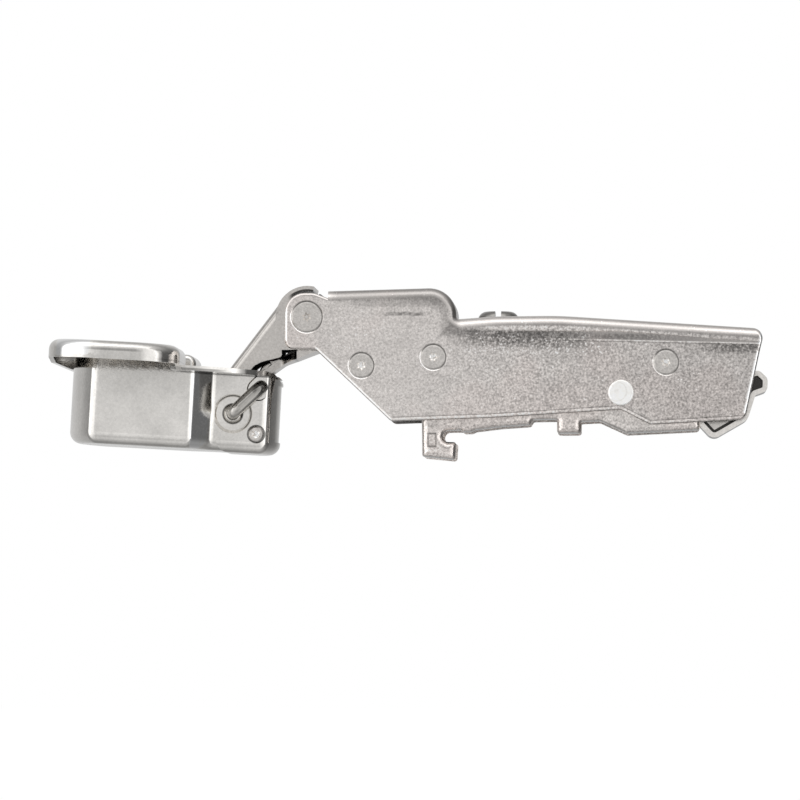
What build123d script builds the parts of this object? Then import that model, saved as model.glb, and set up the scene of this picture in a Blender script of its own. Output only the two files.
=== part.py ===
from build123d import *
import os
from math import acos, atan2, ceil, cos, degrees, hypot, pi, radians, sin, sqrt, tan

# Concealed cup hinge for thick doors, lying open as it would on the cabinet's side.
# Millimetres. X runs along the arm towards its rear, Y along the hinge axes, Z away from
# the cabinet. The origin is on the axis of the two front hooks, midway between them.

# ---------------------------------------------------------------- pins of the linkage
OUTER_PIN = (-23.3, 19.65)      # outer link on the arm, x and z
INNER_PIN = (-14.3, 11.65)      # inner link on the arm
SPRING_PIN = (-2.45, 13.0)
CATCH_PIN = (35.8, 12.1)
ARM_PIVOT = (28.4, 7.1)
CLOSING_TURN = 86.0             # degrees that the cup turns from open to closed

# ---------------------------------------------------------------- fits
RUNNING = 0.05                  # radial gap of a turning fit
SIDE_GAP = 0.05                 # between faces that slide on each other
SEAT_GAP = 0.02                 # between a pressed pin and its hole
GROOVE_OVERCUT = 0.02

# ---------------------------------------------------------------- arm
ARM_WIDTH = 16.4
ARM_SHEET = 1.2
ARM_FOLD_RADIUS = 1.7
ARM_EDGE_RADIUS = 0.5           # the outer edges of the side plates are pressed round
NOSE_REACH = 3.65
NOSE_TOP = 4.0
NOSE_BOTTOM = 5.2
BUMP_START = -19.8
BUMP_END = 1.35
BUMP_TOP = 24.45
BUMP_CORNER = 4.9
ARM_TOP_FRONT = 19.3
ARM_TOP_RAMP = (6.5, 0.45)      # run and rise of the top just behind the bump
ARM_TOP_MIDDLE = (18.0, 19.85)
ARM_TOP_REAR = (52.1, 17.65)
ARM_TOP_BEND = 60.0
ARM_RAMP_BEND = 8.0
DIAGONAL_HIGH = (-21.9, 14.35)
DIAGONAL_LOW = (-9.4, 2.45)
ARM_BOTTOM_MIDDLE = (7.0, 3.0)
ARM_BOTTOM_PIVOT = 4.33         # height of the bottom edge below the pivot
ARM_BOTTOM_STEP = (33.2, 1.87)
ARM_BOTTOM_REAR = (48.75, 2.67)
CREASE_FRONT = (2.0, 16.4)      # below the fold the side plates slant out to this crease
CREASE_REAR = (54.0, 15.15)
CREASE_SLANT = 9.5
SLANT_TOP = 17.3
SLANT_TOP_START = 12.0
SLANT_TOP_END = 27.9
SLANT_REAR = (41.1, 16.2)
ARM_BACK_EDGE = (51.3, 14.4)
OUTER_PIN_RADIUS = 2.6
PIN_HEAD_RADIUS = 2.12
PIN_SHANK_RADIUS = 1.5
PIN_GROOVE = 0.5                # width and depth of the groove about a staked head
PIN_GROOVE_DEPTH = 0.16
STAKE_RADIUS = 0.5
STAKE_DEPTH = 0.18
PIVOT_HEAD_HEIGHT = 0.45

# ---------------------------------------------------------------- links
LINK_SHEET = 1.2
LINK_TO_ARM = 0.3               # clearances that stack up from the arm to the cup
LINK_TO_LINK = 0.25
LINK_TO_CUP = 0.5
OUTER_LINK_BACK = 5.1           # back of the channel, off the line of its two pins
OUTER_LINK_HEAD = 5.2
OUTER_LINK_BOSS = 5.85
OUTER_LINK_NEAR_ARM = 4.4       # round the head, where it passes under the arm
OUTER_LINK_FOOT = 3.0
CURL_GAP_RADIUS = 4.0           # a narrow gap parts the head's curl from the cheeks
CURL_GAP = 0.4
CURL_GAP_FROM = 62.0
CURL_GAP_TO = 122.0
OUTER_LINK_FOLD_RADIUS = 1.4
OUTER_LINK_WRAP_END = 77.0      # where the head's back stops, in degrees above the horizontal
INNER_LINK_SHEET = 1.15
INNER_LINK_EYE_WALL = 0.75
INNER_LINK_RIB_HALF = 2.6
INNER_LINK_RIB = 1.3

# ---------------------------------------------------------------- cup
CUP_FRONT = (-27.55, 10.67)     # foremost point of the cup at the door's face, x and z
CUP_TILT = 3.2
CUP_RADIUS = 17.45
CUP_DEPTH = 12.55
CUP_SHEET = 0.8
CUP_FLAT_STEP = 3.5             # the flats step in towards the drawn-in front walls
CUP_STEP_START = 14.35          # both measured back from the cup's front
CUP_STEP_END = 10.85
CUP_STEP_RADIUS = 1.5
CUP_FLOOR_RADIUS = 1.9
CUP_CORNER_RADIUS = 1.9
CUP_FRONT_FLOOR_DROP = 0.2
RIM_WIDTH = 1.05
WING_BEHIND = 2.0               # the wing reaches this far beyond the cup's wall
WING_FRONT = 15.55              # the wing's front edge, back from the cup's front
WING_SIDE = 13.55
WING_TOP = 3.66
WING_CORNER = 7.5
WING_EDGE_RADIUS = 1.6
WING_END_LIFT = 0.72            # the wing's ends stand clear of the door
WING_LIFT_START = 1.35
WING_LIFT_FULL = 6.55
WING_HOLE_SIDE = 6.55           # from the cup's wall to a screw hole
WING_HOLE_OFFSET = 6.0          # behind the boring axis
WING_HOLE_RADIUS = 2.6
WING_SINK_RADIUS = 4.1
WING_SINK_DEPTH = 1.7
WING_HOLE_LAND = 0.6            # straight part of the hole below its sink
MOUTH_LIP_RADIUS = 0.9
FRONT_NOTCH_HALF_WIDTH = 6.0
FRONT_NOTCH_FLOOR = -0.3
FRONT_PANEL_DEPTH = 0.25
FRONT_PANEL_HALF_WIDTH = 4.6
STAPLE_RADIUS = 1.1
STAPLE_BEND = 1.5
STAPLE_STANDOFF = 0.1
STAPLE_COIN_RADIUS = 3.0
STAPLE_COIN_DEPTH = 0.25
LOWER_LEG_SETBACK = 7.55        # staple legs and stop pin, back from the cup's front
LOWER_LEG_DEPTH = 6.4
UPPER_LEG_SETBACK = 3.15
UPPER_LEG_DEPTH = 1.75
STOP_PIN_SETBACK = 3.55
STOP_PIN_ABOVE_FLOOR = 3.0
STOP_PIN_RADIUS = 1.25

# ---------------------------------------------------------------- clip base
BASE_SHEET = 1.2
BASE_TOP = 13.8
BASE_FOLD_RADIUS = 1.15
BASE_WEB_START = 4.4
BASE_WEB_END = 31.4
HOOK_THROAT_RADIUS = 0.92
HOOK_COIN_DEPTH = 0.2
DEPTH_TRAVEL = 1.2              # each way along X

# ---------------------------------------------------------------- adjusting screws
OVERLAY_SCREW_X = 8.1
OVERLAY_SCREW_RADIUS = 3.4
OVERLAY_SCREW_TOP = 20.85
OVERLAY_COLLAR = 1.6
OVERLAY_NECK_RADIUS = 1.5
FOOT_WAIST_RADIUS = 2.1
FOOT_FLANGE_RADIUS = 2.9
FOOT_FLANGE = 0.9
FOOT_GAP = 0.13                 # the foot tilts a little in the base as the arm tilts
SCREW_DOME = 1.5
SLOT_WIDTH = 1.0
SLOT_DEPTH = 1.5
DEPTH_CAM_X = 20.2
DEPTH_CAM_RADIUS = 3.3
DEPTH_CAM_ECCENTRICITY = 2.0
DEPTH_CAM_PIN_RADIUS = 1.25
DEPTH_CAM_PLAY = 0.28
DEPTH_CAM_FLANGE = 0.8
CAM_SEAT_DROP = 0.33            # the web above slopes towards the rear

# ---------------------------------------------------------------- springs and catch
SPRING_WIRE = 1.5
SPRING_COIL_RADIUS = 3.0
SPRING_TURNS = 2.5
SPRING_INNER_Y = 1.3
BUSH_RADIUS = 2.15
CATCH_SHEET = 0.8
CATCH_HALF_WIDTH = 4.9
CATCH_EAR = 2.3
CATCH_WEB_INSET = 3.6           # the web lies behind the rim on both sides
CATCH_PAD_INSET = 1.3           # and carries a pad that leaves a groove along the rim
CATCH_PAD_END = 48.6
CATCH_GROOVE = 0.5
CATCH_WIRE = 0.7
CATCH_COIL_RADIUS = 2.0

# ---------------------------------------------------------------- tied sizes
ARM_HALF = ARM_WIDTH / 2
ARM_INSIDE = ARM_HALF - ARM_SHEET
BASE_HALF = ARM_INSIDE - SIDE_GAP
BASE_INSIDE = BASE_HALF - BASE_SHEET
LINK_BOSS_HALF = ARM_INSIDE - SIDE_GAP
OUTER_LINK_HALF_WIDTH = ARM_INSIDE - LINK_TO_ARM
INNER_LINK_HALF_WIDTH = OUTER_LINK_HALF_WIDTH - LINK_SHEET - LINK_TO_LINK
CUP_FRONT_HALF_WIDTH = OUTER_LINK_HALF_WIDTH + LINK_TO_CUP + CUP_SHEET
CUP_HALF_WIDTH = CUP_FRONT_HALF_WIDTH + CUP_FLAT_STEP
CUP_CENTRE = (CUP_FRONT[0] - CUP_RADIUS, CUP_FRONT[1])
LOWER_LEG = (CUP_RADIUS - LOWER_LEG_SETBACK, -LOWER_LEG_DEPTH)
UPPER_LEG = (CUP_RADIUS - UPPER_LEG_SETBACK, -UPPER_LEG_DEPTH)
STOP_PIN = (CUP_RADIUS - STOP_PIN_SETBACK, STOP_PIN_ABOVE_FLOOR - CUP_DEPTH)
INNER_LINK_EYE = STAPLE_RADIUS + RUNNING + INNER_LINK_EYE_WALL
EYE_FRONT = UPPER_LEG[0] + INNER_LINK_EYE
EYE_CHORD = sqrt((CUP_RADIUS - CUP_SHEET) ** 2 - EYE_FRONT ** 2)
INNER_LINK_EYE_HALF_WIDTH = EYE_CHORD - LINK_TO_LINK      # clears the cup's rounded front
FAR = 3 * CUP_RADIUS + 30


# ================================================================ helpers
def minus(a, b):
    return (a[0] - b[0], a[1] - b[1])


def plus(a, b):
    return (a[0] + b[0], a[1] + b[1])


def half_angle_tangent(before, here, after):
    """Tangent of half the angle that two sides make at a corner."""
    side_in = minus(before, here)
    side_out = minus(after, here)
    dot = side_in[0] * side_out[0] + side_in[1] * side_out[1]
    cosine = dot / (hypot(*side_in) * hypot(*side_out))
    return tan(acos(max(-0.9999, min(0.9999, cosine))) / 2)


def rounded_outline(corners):
    """A closed face through (x, z, radius) corners; radii shrink where a side is too short."""
    points = [(corner[0], corner[1]) for corner in corners]
    count = len(points)
    slopes = [half_angle_tangent(points[i - 1], points[i], points[(i + 1) % count]) for i in range(count)]
    setbacks = [corner[2] / slope for corner, slope in zip(corners, slopes)]
    shares = [1.0] * count
    for i in range(count):
        j = (i + 1) % count
        side = hypot(*minus(points[i], points[j]))
        share = 0.97 * side / max(setbacks[i] + setbacks[j], 0.001)
        shares[i] = min(shares[i], share)
        shares[j] = min(shares[j], share)
    radii = [setback * share * slope for setback, share, slope in zip(setbacks, shares, slopes)]
    return make_face(FilletPolyline(*points, radius=radii, close=True))


def side_slab(face, y_low, y_high):
    """Extrude a face drawn in x and z from one y to another."""
    return extrude(Plane.XZ.offset(-y_high) * face, amount=y_high - y_low)


def both_sides(solid):
    """The piece and its mirror image on the other side of the middle plane."""
    return solid + mirror(solid, Plane.XZ)


def rod(centre, radius, y_low, y_high):
    """A cylinder along Y."""
    return side_slab(Pos(*centre) * Circle(radius), y_low, y_high)


def post(x, y, radius, z_low, z_high):
    """A cylinder along Z."""
    return Pos(x, y, (z_low + z_high) / 2) * Cylinder(radius, z_high - z_low)


def block(x_low, x_high, y_low, y_high, z_low, z_high):
    """A box given by its limits."""
    centre = ((x_low + x_high) / 2, (y_low + y_high) / 2, (z_low + z_high) / 2)
    return Pos(*centre) * Box(x_high - x_low, y_high - y_low, z_high - z_low)


def strip(points, radii, sheet, half_width):
    """A bent strip of sheet metal that follows a line in x and z."""
    line = FilletPolyline(*points, radius=radii)
    return side_slab(trace(line, sheet), -half_width, half_width)


def turned(vector, angle):
    """A vector in x and z, turned clockwise as seen along +Y."""
    c, s = cos(radians(angle)), sin(radians(angle))
    return (c * vector[0] + s * vector[1], -s * vector[0] + c * vector[1])


def save(node, solid):
    """Write one sub-part to its own file."""
    solid.label = node
    export_step(solid, f"parts/{node}.step")
    print(f"{node}: {len(solid.solids())} solid, {solid.volume:.1f} mm3")


def ring_groove(place, radius, width, depth, y):
    """The cutter of a V-shaped ring groove in a face that looks towards -Y."""
    edge = width / 2 + width * GROOVE_OVERCUT / depth / 2
    section = make_face(Polyline((radius - edge, y - GROOVE_OVERCUT), (radius, y + depth),
                                 (radius + edge, y - GROOVE_OVERCUT), close=True))
    return Pos(place[0], 0, place[1]) * revolve(section, Axis.Y)


def pressed(face, y, depth):
    """The cutter of a mark with slanting walls, pressed into a face that looks towards -Y."""
    return extrude(Plane.XZ.offset(-y - depth) * face, amount=depth, taper=-40)


def stake(place, y, turn):
    """The six-pointed mark that a staking punch leaves in a face that looks towards -Y."""
    points = []
    for i in range(12):
        radius = STAKE_RADIUS * (1.0 if i % 2 else 0.5)
        angle = radians(30 * i + turn)
        points.append((place[0] + radius * cos(angle), place[1] + radius * sin(angle)))
    return pressed(make_face(Polyline(*points, close=True)), y, STAKE_DEPTH)


# ================================================================ linkage
cup_place = Location((CUP_CENTRE[0], 0, CUP_CENTRE[1]), (0, CUP_TILT, 0))


def from_cup(point):
    """A point given in the cup's own x and z, in the hinge's frame."""
    dx, dz = turned(point, CUP_TILT)
    return (CUP_CENTRE[0] + dx, CUP_CENTRE[1] + dz)


outer_foot = from_cup(LOWER_LEG)
inner_foot = from_cup(UPPER_LEG)
outer_arm = minus(outer_foot, OUTER_PIN)
inner_arm = minus(inner_foot, INNER_PIN)
coupler = minus(inner_foot, outer_foot)


def follow_linkage(turn, last_foot):
    """Where the outer link's foot lies once the cup has turned by an angle."""
    offset = minus(INNER_PIN, turned(coupler, turn))
    line = minus(offset, OUTER_PIN)
    span = hypot(*line)
    along = (hypot(*outer_arm) ** 2 - hypot(*inner_arm) ** 2 + span ** 2) / (2 * span)
    across = sqrt(max(hypot(*outer_arm) ** 2 - along ** 2, 0.0))
    unit = (line[0] / span, line[1] / span)
    middle = plus(OUTER_PIN, (along * unit[0], along * unit[1]))
    feet = [plus(middle, (-side * across * unit[1], side * across * unit[0])) for side in (1, -1)]
    return min(feet, key=lambda foot: hypot(*minus(foot, last_foot)))


def clockwise_turn(before, after):
    """The clockwise angle in degrees from one direction to another."""
    angle = degrees(atan2(before[1], before[0]) - atan2(after[1], after[0]))
    return (angle + 180) % 360 - 180


closed_foot = outer_foot
for step in range(1, ceil(CLOSING_TURN) + 1):
    closed_foot = follow_linkage(CLOSING_TURN * step / ceil(CLOSING_TURN), closed_foot)
outer_turn = clockwise_turn(outer_arm, minus(closed_foot, OUTER_PIN))
closed_inner_foot = plus(closed_foot, turned(coupler, CLOSING_TURN))
inner_turn = clockwise_turn(inner_arm, minus(closed_inner_foot, INNER_PIN))


def open_pivot_track(share):
    """Where the inner pin lies in its link when every joint has turned by the same share."""
    foot = plus(OUTER_PIN, turned(outer_arm, outer_turn * share))
    carried = plus(foot, turned(coupler, CLOSING_TURN * share))
    eye = minus(carried, turned(inner_arm, inner_turn * share))
    return turned(minus(INNER_PIN, eye), -inner_turn * share)


# ================================================================ cup
def cup_plan():
    """The drawn cup seen from above: a truncated circle with drawn-in front walls."""
    wide, narrow, beyond = CUP_HALF_WIDTH, CUP_FRONT_HALF_WIDTH, CUP_RADIUS + 2
    half = [(-beyond, -wide, 0), (CUP_RADIUS - CUP_STEP_START, -wide, CUP_STEP_RADIUS),
            (CUP_RADIUS - CUP_STEP_END, -narrow, CUP_STEP_RADIUS), (beyond, -narrow, 0)]
    other = [(x, -y, r) for x, y, r in reversed(half)]
    plan = Circle(CUP_RADIUS) & rounded_outline(half + other)
    return fillet([v for v in plan.vertices() if on_circle(v)], CUP_CORNER_RADIUS)


def on_circle(vertex):
    """True for the corners where the cup's round walls meet its flat ones."""
    return abs(hypot(vertex.X, vertex.Y) - CUP_RADIUS) < 0.01


def raised(face, z_low, z_high):
    """Extrude a face drawn in x and y from one height to another."""
    return extrude(Pos(0, 0, z_low) * face, amount=z_high - z_low)


def make_cup():
    plan = cup_plan()
    bore = offset(plan, amount=-CUP_SHEET, kind=Kind.INTERSECTION)
    floor = -CUP_DEPTH
    step_end = CUP_RADIUS - CUP_STEP_END
    shell = raised(plan, floor, CUP_SHEET)
    shell = fillet([e for e in shell.edges() if e.center().Z < floor + 0.01], CUP_FLOOR_RADIUS)
    front_plan = plan & Pos(step_end + 0.8 + FAR / 2, 0) * Rectangle(FAR, FAR)
    front = raised(front_plan, floor - CUP_FRONT_FLOOR_DROP, floor + 4)
    shell += fillet([e for e in front.edges() if e.center().Z < floor - 0.01], CUP_FLOOR_RADIUS)
    rim = raised(Circle(CUP_RADIUS + RIM_WIDTH), 0, CUP_SHEET) & block(0, FAR, -FAR, FAR, -1, 2)

    wing_back = -CUP_RADIUS - WING_BEHIND
    wing_front = CUP_RADIUS - WING_FRONT
    half_span = CUP_RADIUS + WING_SIDE
    wing_plan = RectangleRounded(wing_front - wing_back, 2 * half_span, WING_CORNER)
    wing_plan = Pos((wing_back + wing_front) / 2, 0) * wing_plan
    wing = raised(wing_plan, 0, WING_TOP)
    wing = fillet(wing.faces().sort_by(Axis.Z)[-1].edges(), WING_EDGE_RADIUS)
    hollow_plan = offset(wing_plan, amount=-CUP_SHEET)
    hollow = raised(hollow_plan, -1, WING_TOP - CUP_SHEET)
    hollow = fillet(hollow.faces().sort_by(Axis.Z)[-1].edges(), WING_EDGE_RADIUS - CUP_SHEET)
    lift_start = CUP_RADIUS + WING_LIFT_START
    lift = rounded_outline([(lift_start, -1, 0), (lift_start, 0, 0), (CUP_RADIUS + WING_LIFT_FULL, WING_END_LIFT, 0),
                            (FAR, WING_END_LIFT, 0), (FAR, -1, 0)])
    lift = extrude(Plane.YZ.offset(-FAR) * lift, amount=2 * FAR)

    column = raised(plan, -2, WING_TOP)
    cup = shell + rim + (wing - (hollow - column) - both_sides(lift))
    room = raised(bore, floor + CUP_SHEET, WING_TOP + 1)
    cup -= fillet(room.faces().sort_by(Axis.Z)[0].edges(), CUP_FLOOR_RADIUS - CUP_SHEET)
    lip = [e for e in cup.edges().filter_by(lambda e: abs(e.center().Z - WING_TOP) < 0.01)
           if hypot(e.center().X, e.center().Y) < CUP_RADIUS - 0.5]
    cup = fillet(lip, MOUTH_LIP_RADIUS)

    # screw holes at the bottom of pressed sinks
    land, sink = WING_TOP - WING_SINK_DEPTH, WING_TOP
    for side in (-1, 1):
        centre = Pos(-WING_HOLE_OFFSET, side * (CUP_RADIUS + WING_HOLE_SIDE), 0)
        cone = Cone(WING_HOLE_RADIUS, WING_SINK_RADIUS, WING_SINK_DEPTH)
        wall = Cone(WING_HOLE_RADIUS + CUP_SHEET, WING_SINK_RADIUS + CUP_SHEET, WING_SINK_DEPTH)
        cup += centre * Pos(0, 0, (land + sink) / 2 - 0.01) * wall
        cup += centre * post(0, 0, WING_HOLE_RADIUS + CUP_SHEET, land - WING_HOLE_LAND, land)
        cup -= centre * Pos(0, 0, (land + sink) / 2) * cone
        cup -= centre * post(0, 0, WING_HOLE_RADIUS, land - WING_HOLE_LAND - 1, land + 0.01)

    # the front wall is cut down where the links pass over it, and its corners fall away
    notch = FRONT_NOTCH_HALF_WIDTH
    cup -= block(step_end + 2, FAR, -notch, notch, FRONT_NOTCH_FLOOR, WING_TOP + 1)
    fall = rounded_outline([(CUP_RADIUS - 2.4, WING_TOP + 1, 0), (CUP_RADIUS - 2.4, CUP_SHEET, 0.8),
                            (CUP_RADIUS - 0.9, CUP_SHEET - 0.35, 1.0), (CUP_RADIUS + 0.1, -1.1, 0),
                            (FAR, -1.1, 0), (FAR, WING_TOP + 1, 0)])
    cup -= side_slab(fall, -FAR, FAR)
    panel = FRONT_PANEL_HALF_WIDTH
    panel_cut = block(step_end, FAR, -panel, panel, floor + 1.9, FRONT_NOTCH_FLOOR - 1)
    cup -= panel_cut - raised(Circle(CUP_RADIUS - FRONT_PANEL_DEPTH), floor - 1, 1)

    # staple: holes, a round coin about the lower leg and a long one about the upper leg
    wall = CUP_FRONT_HALF_WIDTH
    for leg in (LOWER_LEG, UPPER_LEG):
        cup -= rod(leg, STAPLE_RADIUS + SEAT_GAP, -FAR, FAR)
    cup -= rod(STOP_PIN, STOP_PIN_RADIUS + SEAT_GAP, -FAR, FAR)
    for radius, width in ((STAPLE_COIN_RADIUS, 0.5), (STAPLE_RADIUS + 0.1, 0.9)):
        cup -= ring_groove(LOWER_LEG, radius, width, STAPLE_COIN_DEPTH, -wall)
    cup -= ring_groove(STOP_PIN, STOP_PIN_RADIUS + 0.1, 0.4, 0.12, -wall)
    span = minus(UPPER_LEG, LOWER_LEG)
    long_coin = Pos(*UPPER_LEG) * SlotOverall(4.6, 3.4, rotation=degrees(atan2(span[1], span[0])))
    cup -= pressed(long_coin, -wall, STAPLE_COIN_DEPTH)
    return cup


def make_staple():
    outside = -CUP_FRONT_HALF_WIDTH - STAPLE_RADIUS - STAPLE_STANDOFF
    inside = CUP_FRONT_HALF_WIDTH + 0.3
    ends = [(LOWER_LEG[0], inside, LOWER_LEG[1]), (LOWER_LEG[0], outside, LOWER_LEG[1]),
            (UPPER_LEG[0], outside, UPPER_LEG[1]), (UPPER_LEG[0], inside, UPPER_LEG[1])]
    line = FilletPolyline(*ends, radius=STAPLE_BEND)
    section = Plane(origin=line @ 0, z_dir=line % 0) * Circle(STAPLE_RADIUS)
    return sweep(section, path=line)


def make_stop_pin():
    reach = CUP_FRONT_HALF_WIDTH + 0.15
    pin = rod(STOP_PIN, STOP_PIN_RADIUS, -reach, reach)
    pin = chamfer(pin.edges().filter_by(GeomType.CIRCLE), 0.2)
    return pin - both_sides(stake(STOP_PIN, -reach, 0))


# ================================================================ outer link
def make_outer_link():
    """A folded channel, drawn with x from its foot to its head and z towards its back."""
    length = hypot(*outer_arm)
    slope = degrees(atan2(-outer_arm[1], -outer_arm[0]))
    back, head, foot = OUTER_LINK_BACK, OUTER_LINK_HEAD, OUTER_LINK_FOOT
    wrap_end = OUTER_LINK_WRAP_END - slope
    leg = turned(coupler, slope)
    wrap_outer = (length + head * cos(radians(wrap_end)), head * sin(radians(wrap_end)))
    body = rounded_outline([
        (-foot * 0.85, foot * 0.4, 0.8), (0.9, back, 0.8), (length, back, 0), (length, 0, 0),
        (length - 4.9, -2.3, 0.5), (length - 6.8, 0.1, 0), (length - 7.7, -0.6, 0.5),
        (length - 10.5, 1.65, 3), (leg[0] + 1.4, leg[1] + 3.45, 2), (foot * 0.95, -foot * 0.2, 1)])
    side = body + Circle(foot) + Pos(length, 0) * Circle(head)
    solid = side_slab(side, -OUTER_LINK_HALF_WIDTH, OUTER_LINK_HALF_WIDTH)

    # the room inside the channel, open along its front
    within = rounded_outline([
        (-FAR, -FAR, 0), (length + FAR, -FAR, 0), (length + FAR, head * 0.35, 0),
        (length + head * 0.55, head * 0.35, 0), (length + head * 0.5, head * 0.55, 1.5),
        (length, back - LINK_SHEET, 3), (-FAR, back - LINK_SHEET, 0)])
    inside = OUTER_LINK_HALF_WIDTH - LINK_SHEET
    folds = [e for e in solid.edges() if abs(abs(e.center().Y) - OUTER_LINK_HALF_WIDTH) < 0.01
             and e.center().Z > back - 1.2 and 1.0 < e.center().X < length + 4]
    solid = fillet(folds, OUTER_LINK_FOLD_RADIUS)
    solid -= side_slab(within, -inside, inside)
    solid -= block(-FAR, 1.2, -inside, inside, -FAR, FAR)
    below_fold = Pos(length, back - OUTER_LINK_FOLD_RADIUS - FAR / 2) * Rectangle(FAR, FAR)
    head_boss = Pos(length, 0) * Circle(OUTER_LINK_BOSS) & side & below_fold
    cup_wall = CUP_FRONT_HALF_WIDTH - CUP_SHEET - SIDE_GAP
    solid += both_sides(side_slab(head_boss, OUTER_LINK_HALF_WIDTH - 0.1, LINK_BOSS_HALF))
    solid += both_sides(side_slab(Circle(foot * 0.9), OUTER_LINK_HALF_WIDTH - 0.1, cup_wall))
    end_cut = rounded_outline([(length, 0, 0), wrap_outer + (0,), (wrap_outer[0] + 9, wrap_outer[1] + 4, 0),
                               (length + 12, -2, 0), (length + 8, -14, 0)])
    cheek_keep = side_slab(Pos(length, 0) * Circle(OUTER_LINK_NEAR_ARM), -FAR, FAR)
    solid -= side_slab(end_cut, -FAR, FAR) - cheek_keep
    curl_start, curl_end = CURL_GAP_FROM - slope, CURL_GAP_TO - slope
    wedge = [(length, 0)] + [(length + 9 * cos(radians(a)), 9 * sin(radians(a)))
                             for a in (curl_start, (curl_start + curl_end) / 2, curl_end)]
    gap = Pos(length, 0) * (Circle(CURL_GAP_RADIUS + CURL_GAP) - Circle(CURL_GAP_RADIUS))
    solid -= side_slab(gap & make_face(Polyline(*wedge, close=True)), -FAR, FAR)
    solid -= rod((0, 0), STAPLE_RADIUS + RUNNING, -FAR, FAR)
    solid -= rod((length, 0), PIN_SHANK_RADIUS + 0.5 + RUNNING, -FAR, FAR)
    return Location((outer_foot[0], 0, outer_foot[1]), (0, -slope, 0)) * solid


# ================================================================ inner link
def make_inner_link():
    """An arched strip curled round the staple, with two open ears about the inner pin."""
    foot, pin = inner_foot, INNER_PIN
    half, sheet = INNER_LINK_HALF_WIDTH, INNER_LINK_SHEET
    start = plus(foot, (-1.0, 1.35))
    end = plus(pin, (1.6, 4.6))
    bends = [plus(foot, (1.25, 2.95)), plus(foot, (3.4, 4.5)), plus(foot, (9.0, 6.65))]
    link = strip([start] + bends + [end], [2.5, 4.0, 8.0], sheet, half)
    link += rod(foot, INNER_LINK_EYE, -half, half)

    # a stiffening rib is pressed up along the middle
    rib = rounded_outline([
        plus(foot, (0.2, 3.3)) + (0.4,), plus(foot, (1.2, 4.4)) + (0.6,), plus(foot, (2.9, 4.8)) + (0.6,),
        plus(foot, (4.2, 5.9)) + (1.0,), plus(foot, (8.8, 6.9 + INNER_LINK_RIB)) + (1.5,),
        plus(pin, (-2.2, 5.2 + INNER_LINK_RIB)) + (0.8,),
        plus(pin, (0.4, 4.8)) + (0.4,), bends[2] + (0,), bends[1] + (0,)])
    link += side_slab(rib, -INNER_LINK_RIB_HALF, INNER_LINK_RIB_HALF)

    narrow = INNER_LINK_EYE_HALF_WIDTH
    taper = rounded_outline([
        (foot[0] - 5, narrow, 0), (foot[0] + 3.2, narrow, 1.5), (foot[0] + 6.0, half, 1.5),
        (foot[0] + 6.0, FAR, 0), (foot[0] - 5, FAR, 0)])
    link -= both_sides(extrude(taper, amount=FAR, both=True))

    # ears about the open pivot: their window leaves the pin its whole track
    reach = PIN_SHANK_RADIUS + RUNNING + 0.05
    places = [plus(pin, open_pivot_track(share / 8)) for share in range(8)]
    window = make_hull([(Pos(*place) * Circle(reach)).edge() for place in places])
    ear = make_hull([(Pos(*place) * Circle(reach + 1.0)).edge() for place in places])
    neck = rounded_outline([
        bends[2] + (0,), plus(pin, (1.4, 4.4)) + (0,),
        plus(pin, (2.2, 0)) + (1,), plus(pin, (-3.6, 0.2)) + (1,)])
    ear_sheet = LINK_SHEET * 0.9
    ears = side_slab((ear + neck) - window - beyond_diagonal(0.3), half - ear_sheet, half)
    lug = block(foot[0] + 5.9, foot[0] + 8.1, half - ear_sheet, half, foot[1] + 5.8, foot[1] + 7.0)
    link += both_sides(ears + lug)
    return link - rod(foot, STAPLE_RADIUS + RUNNING, -FAR, FAR)


def beyond_diagonal(inset):
    """What lies outside the arm's slanting front edge, or nearer to it than an inset."""
    run = minus(DIAGONAL_HIGH, DIAGONAL_LOW)
    slant = degrees(atan2(run[1], run[0]))
    corner = Pos(*DIAGONAL_LOW) * Rot(0, 0, slant)
    return corner * Pos(0, FAR / 2 - inset) * Rectangle(FAR, FAR)


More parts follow.
